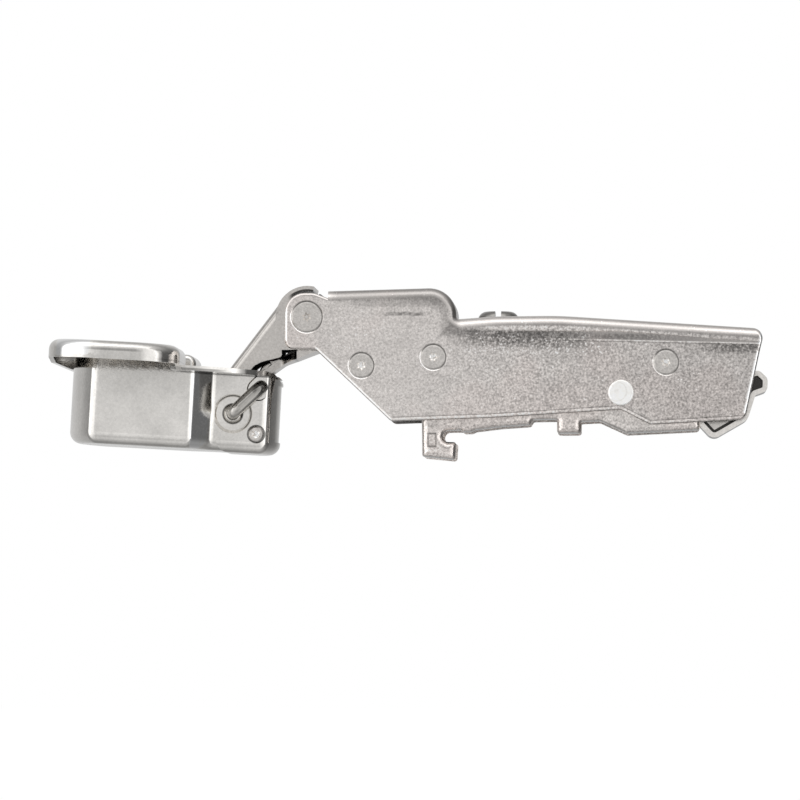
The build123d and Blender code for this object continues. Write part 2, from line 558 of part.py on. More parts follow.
# ================================================================ arm
def make_arm():
    ax, az = OUTER_PIN
    ramp = plus((BUMP_END, ARM_TOP_FRONT), ARM_TOP_RAMP)
    outline = [
        (BUMP_START, az + 3.1, 0), (BUMP_START, BUMP_TOP - 0.5, 0), (BUMP_END, BUMP_TOP + 0.1, BUMP_CORNER),
        (BUMP_END, ARM_TOP_FRONT, 0.5), ramp + (ARM_RAMP_BEND,), ARM_TOP_MIDDLE + (ARM_TOP_BEND,),
        ARM_TOP_REAR + (0,), ARM_BACK_EDGE + (2,), ARM_BOTTOM_REAR + (1.6,), ARM_BOTTOM_STEP + (1,),
        (ARM_PIVOT[0], ARM_BOTTOM_PIVOT, 1.0), ARM_BOTTOM_MIDDLE + (ARM_TOP_BEND,), DIAGONAL_LOW + (1,),
        DIAGONAL_HIGH + (0.8,),
        (ax - NOSE_REACH, az - NOSE_BOTTOM, 1.4), (ax - NOSE_REACH, az + NOSE_TOP, 3.3),
        (ax + 1.2, az + NOSE_TOP, 3)]
    arm = side_slab(rounded_outline(outline), -ARM_HALF, ARM_HALF)
    rims = [e for e in arm_outer_edges(arm) if e.center().Z < 16.5 or e.center().X < BUMP_START - 0.05]
    arm = fillet(rims, ARM_EDGE_RADIUS)
    folds = [e for e in arm_outer_edges(arm) if e.center().Z > 17.0 and e.center().X > BUMP_START + 0.5]
    arm = fillet(folds, ARM_FOLD_RADIUS)

    sheet = ARM_SHEET
    inside = [(BUMP_START, FAR, 0), (BUMP_START, BUMP_TOP - 0.5 - sheet, 0),
              (BUMP_END - sheet, BUMP_TOP + 0.1 - sheet, BUMP_CORNER - sheet),
              (BUMP_END - sheet, ARM_TOP_FRONT - sheet, 0.5 + sheet),
              (ramp[0], ramp[1] - sheet, ARM_RAMP_BEND),
              (ARM_TOP_MIDDLE[0], ARM_TOP_MIDDLE[1] - sheet, ARM_TOP_BEND),
              (ARM_TOP_REAR[0] + 0.1, ARM_TOP_REAR[1] - sheet, 0),
              (FAR, ARM_TOP_REAR[1] - sheet, 0), (FAR, -FAR, 0), (-FAR, -FAR, 0), (-FAR, FAR, 0)]
    room = side_slab(rounded_outline(inside), -ARM_INSIDE, ARM_INSIDE)
    long_edges = [e for e in room.edges() if abs(abs(e.center().Y) - ARM_INSIDE) < 0.01
                  and BUMP_START < e.center().X < ARM_TOP_REAR[0] and 15 < e.center().Z < 25]
    arm -= fillet(long_edges, ARM_FOLD_RADIUS - sheet)

    arm -= both_sides(slant())

    # threaded collar of the overlay screw and the depth cam's seat
    web = web_height(OVERLAY_SCREW_X)
    arm += post(OVERLAY_SCREW_X, 0, OVERLAY_SCREW_RADIUS + 1.0, web - sheet - OVERLAY_COLLAR, web - sheet / 2)
    arm -= post(OVERLAY_SCREW_X, 0, OVERLAY_SCREW_RADIUS + RUNNING, BASE_TOP - 3, FAR)
    arm -= post(DEPTH_CAM_X, 0, DEPTH_CAM_RADIUS + RUNNING, BASE_TOP - 3, FAR)

    heads = [(OUTER_PIN, OUTER_PIN_RADIUS)]
    heads += [(place, PIN_HEAD_RADIUS) for place in (INNER_PIN, SPRING_PIN, CATCH_PIN)]
    for place, radius in heads:
        arm -= rod(place, radius + SEAT_GAP, -FAR, FAR)
        arm -= both_sides(ring_groove(place, radius - 0.05, PIN_GROOVE, PIN_GROOVE_DEPTH, -ARM_HALF))
    arm -= rod(ARM_PIVOT, PIN_SHANK_RADIUS + RUNNING, -FAR, FAR)
    return arm


def slant():
    """The cutter of the slanting strip between the arm's fold and its crease, near side."""
    skin = -ARM_HALF
    end = plus(CREASE_REAR, (0, 0.2))
    strip_face = make_face(Polyline(CREASE_FRONT, CREASE_REAR, end, SLANT_REAR, (SLANT_TOP_END, SLANT_TOP),
                                    (SLANT_TOP_START, SLANT_TOP), close=True))
    run = minus(CREASE_REAR, CREASE_FRONT)
    along = Vector(run[0], 0, run[1])
    up = Vector(0, tan(radians(CREASE_SLANT)), 1)
    surface = Plane(origin=(CREASE_FRONT[0], skin, CREASE_FRONT[1]), x_dir=along, z_dir=along.cross(up))
    return side_slab(strip_face, skin - 1, skin + 1) & surface * Pos(0, 0, FAR) * Box(4 * FAR, 4 * FAR, 2 * FAR)


def arm_outer_edges(arm):
    """The edges that lie in the outer faces of the arm's two side plates."""
    return [e for e in arm.edges() if abs(abs(e.center().Y) - ARM_HALF) < 0.01]


def web_height(x):
    """Height of the arm's top face behind the bump, on its middle line."""
    front = plus((BUMP_END, ARM_TOP_FRONT), ARM_TOP_RAMP)
    if x < ARM_TOP_MIDDLE[0]:
        share = (x - front[0]) / (ARM_TOP_MIDDLE[0] - front[0])
        return front[1] + share * (ARM_TOP_MIDDLE[1] - front[1])
    share = (x - ARM_TOP_MIDDLE[0]) / (ARM_TOP_REAR[0] - ARM_TOP_MIDDLE[0])
    return ARM_TOP_MIDDLE[1] + share * (ARM_TOP_REAR[1] - ARM_TOP_MIDDLE[1])


def make_rivet(place, head_radius, shank_radius, turn):
    """A pin staked flush in both plates of the arm."""
    flush = ARM_HALF + 0.03
    pin = rod(place, shank_radius, -flush, flush)
    pin += both_sides(rod(place, head_radius, ARM_INSIDE + SEAT_GAP, flush))
    groove = ring_groove(place, head_radius - 0.05, PIN_GROOVE, PIN_GROOVE_DEPTH, -flush)
    return pin - both_sides(groove + stake(place, -flush, turn))


def make_arm_pivot_pin():
    head = rod(ARM_PIVOT, PIN_HEAD_RADIUS, ARM_HALF + SIDE_GAP, ARM_HALF + SIDE_GAP + PIVOT_HEAD_HEIGHT)
    head = fillet(head.edges().filter_by(GeomType.CIRCLE).sort_by(Axis.Y)[-1], PIVOT_HEAD_HEIGHT * 0.7)
    reach = ARM_HALF + SIDE_GAP
    return rod(ARM_PIVOT, PIN_SHANK_RADIUS, -reach, reach) + both_sides(head)


# ================================================================ clip base
def make_base():
    throat = HOOK_THROAT_RADIUS
    outline = [
        (-4.45, 7.0, 1.5), (-4.35, -3.35, 0.5), (1.1, -3.9, 0.5), (1.3, -throat, 0.5), (0, -throat, 0),
        (0, throat, 0), (2.1, 0.95, 0.3), (2.5, 0.68, 0.3), (3.7, 0.68, 0.5), (4.4, 1.0, 0.3), (8.5, 1.5, 1),
        (13.4, 1.84, 0.4), (13.95, 2.66, 0.3), (17.88, 2.72, 0.2), (17.88, 0.43, 0.5), (21.83, 0.43, 0.5),
        (21.83, 2.32, 0.2), (24.95, 2.46, 1), (29.4, 0.42, 1), (41.4, 0.98, 0.6), (41.4, 8.4, 1.5),
        (33.4, 9.0, 1.5), (BASE_WEB_END, BASE_TOP, 0), (BASE_WEB_START, BASE_TOP, 0.8), (1.5, 9.6, 1.5)]
    base = side_slab(rounded_outline(outline) - Circle(throat), -BASE_HALF, BASE_HALF)
    folds = [e for e in base.edges() if abs(abs(e.center().Y) - BASE_HALF) < 0.01 and e.center().Z > BASE_TOP - 0.01]
    base = fillet(folds, BASE_FOLD_RADIUS)
    room = rounded_outline([(-FAR, -FAR, 0), (FAR, -FAR, 0), (FAR, BASE_TOP - BASE_SHEET, 0),
                            (BASE_WEB_START - 0.9, BASE_TOP - BASE_SHEET, 0), (BASE_WEB_START - 0.9, FAR, 0),
                            (-FAR, FAR, 0)])
    base -= side_slab(room, -BASE_INSIDE, BASE_INSIDE)

    travel = DEPTH_TRAVEL + 0.4
    width = 2 * (PIN_SHANK_RADIUS + RUNNING)
    base -= side_slab(Pos(*ARM_PIVOT) * SlotOverall(width + 2 * travel, width), -FAR, FAR)

    # keyhole of the overlay screw's foot: dropped in at the wide end, then slid forward
    waist = 2 * (FOOT_WAIST_RADIUS + RUNNING)
    slot = SlotOverall(waist + 2 * travel, waist)
    key = Pos(travel + 4.2, 0) * Circle(FOOT_FLANGE_RADIUS + 0.15) + Pos(travel + 1.5, 0) * Rectangle(5, waist)
    base -= Pos(OVERLAY_SCREW_X, 0, BASE_TOP - 2 * BASE_SHEET) * extrude(slot + key, amount=3 * BASE_SHEET)

    # the cam's pin works in a slot across the web
    cam_width = 2 * (DEPTH_CAM_PIN_RADIUS + DEPTH_CAM_PLAY)
    cam_slot = SlotOverall(cam_width + 2 * 0.6, cam_width, rotation=90)
    across = DEPTH_CAM_ECCENTRICITY
    base -= Pos(DEPTH_CAM_X, across, BASE_TOP - 2 * BASE_SHEET) * extrude(cam_slot, amount=3 * BASE_SHEET)

    coin = Pos(-2.7, -0.6, 0) * RectangleRounded(1.7, 2.7, 0.5)
    ring = coin - Pos(-2.7, -0.6) * RectangleRounded(1.0, 2.0, 0.3)
    base -= both_sides(side_slab(ring, -BASE_HALF, -BASE_HALF + HOOK_COIN_DEPTH))
    return base


# ================================================================ adjusting screws
def make_overlay_screw():
    x, radius, top = OVERLAY_SCREW_X, OVERLAY_SCREW_RADIUS, OVERLAY_SCREW_TOP
    shoulder = BASE_TOP + FOOT_GAP + FOOT_FLANGE + SIDE_GAP
    foot_end = BASE_TOP - BASE_SHEET - FOOT_GAP - FOOT_FLANGE
    screw = post(x, 0, radius, shoulder, top)
    screw = fillet(screw.edges().filter_by(GeomType.CIRCLE).sort_by(Axis.Z)[-1], SCREW_DOME)
    screw += post(x, 0, OVERLAY_NECK_RADIUS, foot_end - 0.5, shoulder)
    screw += post(x, 0, OVERLAY_NECK_RADIUS + 0.5, foot_end - 0.5, foot_end - SIDE_GAP)
    screw -= block(x - SLOT_WIDTH / 2, x + SLOT_WIDTH / 2, -FAR, FAR, top - SLOT_DEPTH, top + 1)
    return screw


def make_overlay_foot():
    """The collar that holds the screw's neck in the base's keyhole."""
    x, under = OVERLAY_SCREW_X, BASE_TOP - BASE_SHEET
    low, high = under - FOOT_GAP, BASE_TOP + FOOT_GAP
    foot = post(x, 0, FOOT_WAIST_RADIUS, low - FOOT_FLANGE, high + FOOT_FLANGE)
    foot += post(x, 0, FOOT_FLANGE_RADIUS, high, high + FOOT_FLANGE)
    foot += post(x, 0, FOOT_FLANGE_RADIUS, low - FOOT_FLANGE, low)
    return foot - post(x, 0, OVERLAY_NECK_RADIUS + RUNNING, 0, FAR)


def make_depth_cam():
    x, web = DEPTH_CAM_X, web_height(DEPTH_CAM_X)
    seat = web - ARM_SHEET - CAM_SEAT_DROP
    cam = post(x, 0, DEPTH_CAM_RADIUS, seat - 0.1, web - 0.25)
    cam = chamfer(cam.edges().filter_by(GeomType.CIRCLE).sort_by(Axis.Z)[-1], 0.3)
    cam += post(x, 0, DEPTH_CAM_RADIUS + 1.0, seat - DEPTH_CAM_FLANGE, seat)
    cam += post(x, DEPTH_CAM_ECCENTRICITY, DEPTH_CAM_PIN_RADIUS, BASE_TOP - BASE_SHEET - 0.3, seat - 0.2)
    for angle in (0, 90):
        cam -= Pos(x, 0, web) * Rot(0, 0, angle) * Box(4.0, 0.8, 2.6)
    return cam


# ================================================================ springs
def coil(centre, radius, wire, y_start, turns, pitch, start_angle):
    """A round-wire coil about an axis along Y, from y_start towards larger Y."""
    helix = Helix(pitch=pitch, height=pitch * turns, radius=radius)
    section = Plane(origin=helix @ 0, z_dir=helix % 0) * Circle(wire / 2)
    wound = sweep(section, path=helix, is_frenet=True)
    return Pos(centre[0], y_start, centre[1]) * Rot(-90, 0, 0) * Rot(0, 0, start_angle) * wound


def wire_run(start, end, wire):
    """A straight length of wire with a rounded end."""
    axis = Vector(*end) - Vector(*start)
    run = Plane(origin=start, z_dir=axis) * Cylinder(wire / 2, axis.length, align=(Align.CENTER, Align.CENTER, Align.MIN))
    return run + Pos(*end) * Sphere(wire / 2)


def make_closing_spring():
    x, z = SPRING_PIN
    radius, wire = SPRING_COIL_RADIUS, SPRING_WIRE
    pitch = wire + 0.1
    start = SPRING_INNER_Y
    end = start + pitch * SPRING_TURNS
    half = coil(SPRING_PIN, radius, wire, start, SPRING_TURNS, pitch, 90)
    half += wire_run((x, start, z - radius), (x - 7.6, start, z - radius - 0.6), wire)
    half += wire_run((x, end, z + radius), (x - 4.6, end, z + radius + 5.2), wire)
    bar = rod((x - 7.6, z - radius - 0.6), wire / 2, -start, start)
    return both_sides(half) + bar


def make_spring_bush():
    bush = rod(SPRING_PIN, BUSH_RADIUS, -ARM_INSIDE + 0.3, ARM_INSIDE - 0.3)
    return bush - rod(SPRING_PIN, PIN_SHANK_RADIUS + SEAT_GAP, -FAR, FAR)


def make_release_catch():
    """A cast lever: ears on the pin, the finger lip at the rear, the nose below, a web inside."""
    x, z = CATCH_PIN
    line = [(x, z - 1.95), (x + 12.5, z - 2.2), (51.0, 10.45), (52.15, 9.4), (52.1, 7.75), (50.2, 7.1),
            (48.9, 3.0), (43.6, -0.05), (41.6, 2.1), (41.9, 5.0)]
    radii = [3.0, 0.6, 0.8, 0.6, 0.8, 1.6, 1.1, 0.8]
    half = CATCH_HALF_WIDTH
    catch = strip(line, radii, CATCH_SHEET, half)
    web = make_face(FilletPolyline(*line[1:], radius=[0] + radii[1:] + [0], close=True))
    catch += side_slab(web, CATCH_WEB_INSET - half, half - CATCH_WEB_INSET)
    pad = offset(web, amount=-CATCH_SHEET / 2 - CATCH_GROOVE) & Pos(CATCH_PAD_END - FAR / 2, 0) * Rectangle(FAR, FAR)
    catch += side_slab(pad, CATCH_PAD_INSET - half, half - CATCH_PAD_INSET)
    catch += rod(CATCH_PIN, PIN_SHANK_RADIUS + RUNNING + CATCH_SHEET, -half, half)
    catch -= rod(CATCH_PIN, PIN_SHANK_RADIUS + RUNNING, -FAR, FAR)
    return catch - block(x - 5, x + 4.2, -CATCH_EAR, CATCH_EAR, z - 5, z + 5)


def make_catch_spring():
    x, z = CATCH_PIN
    pitch = CATCH_WIRE + 0.08
    turns = 4.0
    start = -pitch * turns / 2
    wound = coil(CATCH_PIN, CATCH_COIL_RADIUS, CATCH_WIRE, start, turns, pitch, 0)
    wound += wire_run((x + CATCH_COIL_RADIUS, start, z), (x + CATCH_COIL_RADIUS + 0.4, start, z + 4.0), CATCH_WIRE)
    wound += wire_run((x + CATCH_COIL_RADIUS, -start, z), (x + CATCH_COIL_RADIUS + 4.6, -start, z - 0.9), CATCH_WIRE)
    return wound


# ================================================================ write the pieces
if __name__ == "__main__":
    os.makedirs("parts", exist_ok=True)
    save("cup", cup_place * make_cup())
    save("cup_staple", cup_place * make_staple())
    save("cup_stop_pin", cup_place * make_stop_pin())
    save("outer_link", make_outer_link())
    save("inner_link", make_inner_link())
    save("hinge_arm", make_arm())
    save("outer_link_pin", make_rivet(OUTER_PIN, OUTER_PIN_RADIUS, PIN_SHANK_RADIUS + 0.5, 10))
    save("inner_link_pin", make_rivet(INNER_PIN, PIN_HEAD_RADIUS, PIN_SHANK_RADIUS, 4))
    save("spring_pin", make_rivet(SPRING_PIN, PIN_HEAD_RADIUS, PIN_SHANK_RADIUS, 22))
    save("catch_pin", make_rivet(CATCH_PIN, PIN_HEAD_RADIUS, PIN_SHANK_RADIUS, 15))
    save("arm_pivot_pin", make_arm_pivot_pin())
    save("clip_base", make_base())
    save("overlay_screw", make_overlay_screw())
    save("overlay_screw_foot", make_overlay_foot())
    save("depth_cam", make_depth_cam())
    save("closing_spring", make_closing_spring())
    save("spring_bush", make_spring_bush())
    save("release_catch", make_release_catch())
    save("catch_spring", make_catch_spring())
    print(f"outer link {outer_turn:.3f}, inner link {inner_turn:.3f}, cup {CLOSING_TURN}")
    print("staple legs", [round(v, 3) for v in outer_foot + inner_foot])
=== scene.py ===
"""Looks of a concealed cup hinge: plated steel, studio light and the camera.

The axes are the CAD's own: x along the arm, y along the hinge axes, z up. Places and sizes of the marks are
in millimetres, and those of the studio in metres.
"""

import math

import bmesh
import bpy
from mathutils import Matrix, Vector


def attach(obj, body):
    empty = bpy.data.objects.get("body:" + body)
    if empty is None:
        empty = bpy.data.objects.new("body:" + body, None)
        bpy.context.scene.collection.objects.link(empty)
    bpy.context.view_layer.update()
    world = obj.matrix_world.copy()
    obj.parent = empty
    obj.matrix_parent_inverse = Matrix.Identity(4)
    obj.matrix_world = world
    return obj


MM = 0.001

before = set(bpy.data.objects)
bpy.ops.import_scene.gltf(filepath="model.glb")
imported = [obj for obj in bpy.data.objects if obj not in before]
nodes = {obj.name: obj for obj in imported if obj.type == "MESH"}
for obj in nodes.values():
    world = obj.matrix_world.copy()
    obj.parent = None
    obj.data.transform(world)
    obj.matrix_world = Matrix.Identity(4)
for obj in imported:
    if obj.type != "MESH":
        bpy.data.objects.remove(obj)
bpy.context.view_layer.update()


# ---------------------------------------------------------------- node helpers
MIX_SOCKETS = (0, 6, 7)  # factor, first and second colour: a Mix node uses their names for other types too


def feed(tree, socket, value):
    """Give an input a plain value, or link another node's output to it."""
    if isinstance(value, bpy.types.NodeSocket):
        tree.links.new(value, socket)
    else:
        socket.default_value = value


def add_node(tree, kind, settings=None, **inputs):
    """A node with its settings and inputs filled in."""
    node = tree.nodes.new(kind)
    for name, value in (settings or {}).items():
        setattr(node, name, value)
    for name, value in inputs.items():
        feed(tree, node.inputs[name.replace("_", " ")], value)
    return node


def ramp(tree, source, stops):
    """A colour ramp fed by a value; stops are (position, grey)."""
    node = add_node(tree, "ShaderNodeValToRGB", Fac=source)
    elements = node.color_ramp.elements
    while len(elements) < len(stops):
        elements.new(0.5)
    for element, (position, grey) in zip(elements, stops):
        element.position = position
        element.color = (grey, grey, grey, 1)
    return node.outputs["Color"]


def mix_colour(tree, mode, amount, first, second):
    """Mix two colours by an amount."""
    node = add_node(tree, "ShaderNodeMix", {"data_type": "RGBA", "blend_type": mode})
    for place, value in zip(MIX_SOCKETS, (amount, first, second)):
        feed(tree, node.inputs[place], value)
    return node.outputs[2]


def calculate(tree, operation, *values):
    """A math node."""
    node = add_node(tree, "ShaderNodeMath", {"operation": operation})
    for socket, value in zip(node.inputs, values):
        feed(tree, socket, value)
    return node.outputs[0]


def product(tree, *values):
    """All values multiplied together."""
    result = values[0]
    for value in values[1:]:
        result = calculate(tree, "MULTIPLY", result, value)
    return result


def either(tree, first, second):
    """The stronger of two masks."""
    return calculate(tree, "MAXIMUM", first, second)


def length(tree, across, up):
    """The length of a line that goes so far across and up."""
    squares = calculate(tree, "MULTIPLY", up, up)
    return calculate(tree, "SQRT", calculate(tree, "MULTIPLY_ADD", across, across, squares))


def rise(tree, value, low, high):
    """A soft step: 0 below low, 1 above high."""
    node = add_node(tree, "ShaderNodeMapRange", {"interpolation_type": "SMOOTHSTEP"}, Value=value,
                    From_Min=low, From_Max=high)
    return node.outputs["Result"]


def fall(tree, value, low, high):
    """A soft step the other way: 1 below low, 0 above high."""
    return calculate(tree, "SUBTRACT", 1.0, rise(tree, value, low, high))


def span(tree, value, start, end):
    """1 between two soft borders, each given by where it begins and ends."""
    return product(tree, rise(tree, value, *start), fall(tree, value, *end))


def band(tree, value, low, high, soft=0.06):
    """1 between low and high, with equally soft borders."""
    return span(tree, value, (low - soft, low + soft), (high - soft, high + soft))


def grey_colour(tree, level):
    """A grey of a level."""
    return add_node(tree, "ShaderNodeCombineColor", Red=level, Green=level, Blue=level).outputs["Color"]


def object_place(tree):
    """The object coordinates in metres."""
    return tree.nodes.new("ShaderNodeTexCoord").outputs["Object"]


def place_mm(tree):
    """The object coordinates in millimetres: x, y and z."""
    split = add_node(tree, "ShaderNodeSeparateXYZ", Vector=object_place(tree)).outputs
    return [calculate(tree, "DIVIDE", split[axis], MM) for axis in "XYZ"]


def facing_up(tree):
    """How far the surface faces up, from -1 to 1."""
    normal = tree.nodes.new("ShaderNodeTexCoord").outputs["Normal"]
    return add_node(tree, "ShaderNodeSeparateXYZ", Vector=normal).outputs["Z"]


def noise(tree, scale, detail, roughness=0.5):
    """Noise on the object coordinates, with a scale in cycles per metre."""
    node = add_node(tree, "ShaderNodeTexNoise", Vector=object_place(tree), Scale=scale, Detail=detail,
                    Roughness=roughness)
    return node.outputs["Fac"]


# ---------------------------------------------------------------- plating
GRAIN_DEPTH = 0.04 * MM
PITS_TO_GRAIN = 0.6
SPECK_SIZE = 0.22
SPECK_ZONES = 300.0
WAVE_SCALE = 190.0
CLOUDS_IN_ROUGHNESS = 0.12
GRAIN_IN_ROUGHNESS = 0.08


def build_plating_group():
    """Nickel plating over drawn steel: a fine grain, sparkling specks, dull patches and waves."""
    group = bpy.data.node_groups.new("plating", "ShaderNodeTree")
    sockets = group.interface
    sockets.new_socket("Metal Color", in_out="INPUT", socket_type="NodeSocketColor")
    for name in ("Roughness", "Grain Scale", "Grain", "Specks", "Cloud Scale", "Clouds", "Waves"):
        sockets.new_socket(name, in_out="INPUT", socket_type="NodeSocketFloat")
    sockets.new_socket("Color", in_out="OUTPUT", socket_type="NodeSocketColor")
    for name in ("Roughness", "Height"):
        sockets.new_socket(name, in_out="OUTPUT", socket_type="NodeSocketFloat")
    given = group.nodes.new("NodeGroupInput").outputs
    result = group.nodes.new("NodeGroupOutput").inputs

    def swing(value, amount):
        return calculate(group, "MULTIPLY", calculate(group, "SUBTRACT", value, 0.5), amount)

    grain = noise(group, given["Grain Scale"], detail=2, roughness=0.6)
    clouds = noise(group, given["Cloud Scale"], detail=4, roughness=0.6)
    pit_scale = calculate(group, "MULTIPLY", given["Grain Scale"], PITS_TO_GRAIN)
    pits = add_node(group, "ShaderNodeTexVoronoi", Vector=object_place(group), Scale=pit_scale)
    speck = ramp(group, pits.outputs["Distance"], ((0.0, 1.0), (SPECK_SIZE, 0.0)))
    zones = noise(group, SPECK_ZONES, detail=3, roughness=0.6)
    speck_zone = ramp(group, zones, ((0.5, 0.0), (0.66, 1.0)))
    speck = product(group, speck, speck_zone, given["Specks"])

    shade = calculate(group, "ADD", swing(grain, given["Grain"]), swing(clouds, given["Clouds"]))
    shade = calculate(group, "ADD", calculate(group, "ADD", shade, 1.0), speck)
    metal = mix_colour(group, "MULTIPLY", 1.0, given["Metal Color"], grey_colour(group, shade))
    feed(group, result["Color"], metal)
    rough = calculate(group, "ADD", given["Roughness"], swing(clouds, CLOUDS_IN_ROUGHNESS))
    feed(group, result["Roughness"], calculate(group, "ADD", rough, swing(grain, GRAIN_IN_ROUGHNESS)))
    waves = calculate(group, "MULTIPLY", noise(group, WAVE_SCALE, detail=1), given["Waves"])
    feed(group, result["Height"], calculate(group, "ADD", calculate(group, "ADD", grain, speck), waves))
    return group


plating = build_plating_group()


def plated(name, colour, roughness, grain, specks, clouds, bump, grain_scale=2400, waves=2.0, cloud_scale=140,
           marks=(), sway=None, calm=None):
    """A plated steel finish with its own grain.

    Each mark is a function that makes a mask, and the tone that it brings. Sway makes a gentle height in
    millimetres, and calm a mask of the places where the grain is weaker.
    """
    material = bpy.data.materials.new(name)
    material.use_nodes = True
    tree = material.node_tree
    finish = add_node(tree, "ShaderNodeGroup", {"node_tree": plating}, Metal_Color=(*colour, 1),
                      Roughness=roughness, Grain_Scale=grain_scale, Grain=grain, Specks=specks,
                      Cloud_Scale=cloud_scale, Clouds=clouds, Waves=waves)
    relief = add_node(tree, "ShaderNodeBump", Strength=bump, Distance=GRAIN_DEPTH,
                      Height=finish.outputs["Height"])
    if calm:
        share = calculate(tree, "SUBTRACT", 1.0, calm(tree))
        feed(tree, finish.inputs["Grain"], calculate(tree, "MULTIPLY", share, grain))
        feed(tree, relief.inputs["Strength"], calculate(tree, "MULTIPLY", share, bump))
    if sway:
        slope = add_node(tree, "ShaderNodeBump", Strength=1.0, Distance=MM, Height=sway(tree))
        feed(tree, relief.inputs["Normal"], slope.outputs["Normal"])
    metal = finish.outputs["Color"]
    for mark, tone in marks:
        shade = tone if isinstance(tone, tuple) else (tone, tone, tone)
        metal = mix_colour(tree, "MULTIPLY", mark(tree), metal, (*shade, 1))
    shader = tree.nodes["Principled BSDF"]
    feed(tree, shader.inputs["Metallic"], 1.0)
    feed(tree, shader.inputs["Base Color"], metal)
    feed(tree, shader.inputs["Roughness"], finish.outputs["Roughness"])
    feed(tree, shader.inputs["Normal"], relief.outputs["Normal"])
    return material


# ---------------------------------------------------------------- places on the hinge, in the side view
# each point is a pair of x and z
OUTER_PIN = (-23.3, 19.65)
STAKED_PINS = ((-14.3, 11.65), (-2.45, 13.0), (35.8, 12.1))
LOWER_LEG = (-35.47, 3.73)
UPPER_LEG = (-30.82, 8.12)
STOP_PIN = (-31.65, 0.36)
PIVOT_MARK = (27.7, 7.3)
HOOK_COIN = (-2.7, -0.6)

ARM_BOTTOM = ((-9.4, 2.45), (7.0, 3.0), (28.4, 4.33), (33.2, 1.87), (48.75, 2.67))
ARM_SLANT = ((-22.0, 14.44), ARM_BOTTOM[0])
ARM_REAR = (ARM_BOTTOM[-1], (51.86, 17.0))
ARM_CREASE = ((0.0, 16.45), (40.0, 15.49))
ARM_TOP = 19.5
BUMP_FRONT = -20.5
BUMP_CORNER = (-3.55, 19.6)
BUMP_RADIUS = 4.9
BUMP_SWELL = 0.17
DENT_HEIGHT = 20.5
OUTER_LINK_LINE = (LOWER_LEG, OUTER_PIN)
RIM_FOOT = ((-60.0, 11.504), (-38.0, 10.274))

# distances from the mid-plane that part one face of a piece from the next
ARM_FACE = 7.5
ARM_FACET = 7.8
ARM_CHANNEL = 7.1
OUTER_LINK_CHEEK = 5.9
OUTER_LINK_CHANNEL = 5.6
INNER_LINK_WEB = 4.8
CATCH_RIM = 4.6
CATCH_WEB = 2.8
HOOK_FACE = 6.6
CUP_FLAT = 11.3
CUP_STEP = (8.5, 11.2)


def outside(tree, distance, soft=0.1):
    """1 farther than a distance from the mid-plane, on both sides."""
    _, y, _ = place_mm(tree)
    return rise(tree, calculate(tree, "ABSOLUTE", y), distance - soft, distance + soft)


def inside(tree, distance, soft=0.1):
    """1 nearer than a distance to the mid-plane."""
    return calculate(tree, "SUBTRACT", 1.0, outside(tree, distance, soft))


def reach(tree, centre):
    """Distance in the side view from a centre, and how far towards its upper right a point lies."""
    x, _, z = place_mm(tree)
    across = calculate(tree, "SUBTRACT", x, centre[0])
    up = calculate(tree, "SUBTRACT", z, centre[1])
    distance = length(tree, across, up)
    not_zero = calculate(tree, "ADD", distance, 0.01)
    return distance, calculate(tree, "DIVIDE", calculate(tree, "ADD", across, up), not_zero)


def off_line(tree, start, end):
    """Distance in the side view from the line through two points, towards its left."""
    x, _, z = place_mm(tree)
    run = math.dist(start, end)
    across, up = (start[1] - end[1]) / run, (end[0] - start[0]) / run
    lift = calculate(tree, "MULTIPLY_ADD", z, up, -across * start[0] - up * start[1])
    return calculate(tree, "MULTIPLY_ADD", x, across, lift)


def outline_height(tree, x, points):
    """The height of an outline above x, between its points."""
    start, run = points[0][0], points[-1][0] - points[0][0]
    low = min(z for _, z in points)
    climb = max(z for _, z in points) - low
    along = calculate(tree, "DIVIDE", calculate(tree, "SUBTRACT", x, start), run)
    shade = ramp(tree, along, [((px - start) / run, (pz - low) / climb) for px, pz in points])
    return calculate(tree, "MULTIPLY_ADD", shade, climb, low)


# ---------------------------------------------------------------- marks on the pins' heads
def ring_shade_line(centre, radius, width=0.12, everywhere=False):
    """A thin line of painted shade round a ring groove, strongest towards its upper right."""
    def mask(tree):
        distance, diagonal = reach(tree, centre)
        line = band(tree, distance, radius - width, radius + width, 0.05)
        return line if everywhere else product(tree, line, rise(tree, diagonal, -0.9, 0.3))
    return mask


def ring_groove_shade(centre, radius):
    """Painted shade on both flanks of a ring groove, but for a thin line at its lower left."""
    def mask(tree):
        distance, diagonal = reach(tree, centre)
        groove = band(tree, distance, radius - 0.25, radius + 0.25, 0.04)
        line = band(tree, distance, radius + 0.02, radius + 0.14, 0.05)
        gap = product(tree, groove, line, fall(tree, diagonal, -0.9, -0.1))
        return calculate(tree, "SUBTRACT", groove, gap)
    return mask


def ring_glint(centre, radius):
    """A painted glint at the lower left of a ring groove."""
    def mask(tree):
        distance, diagonal = reach(tree, centre)
        line = band(tree, distance, radius - 0.02, radius + 0.16)
        return product(tree, line, fall(tree, diagonal, -0.8, 0.0))
    return mask


def punched_star_highlight(centre):
    """A punched star in the middle of a staked pin, painted lighter as a painted highlight."""
    def mask(tree):
        distance, _ = reach(tree, centre)
        points = rise(tree, noise(tree, scale=2300, detail=2), 0.42, 0.56)
        return product(tree, fall(tree, distance, 0.35, 0.8), points)
    return mask


def pin_groove(centre, radius):
    """The painted shade and painted glint of the groove round a pin's head."""
    flanks = (ring_groove_shade(centre, radius), 0.6)
    dark_line = (ring_shade_line(centre, radius), 0.5)
    glint = (ring_glint(centre, radius), 1.7)
    return [flanks, dark_line, glint]


# the stars are painted lighter, as painted highlights
STAR_HIGHLIGHT_TONE = 1.95
pin_heads = pin_groove(OUTER_PIN, 2.55)
for pin in STAKED_PINS:
    pin_heads += pin_groove(pin, 2.07) + [(punched_star_highlight(pin), STAR_HIGHLIGHT_TONE)]


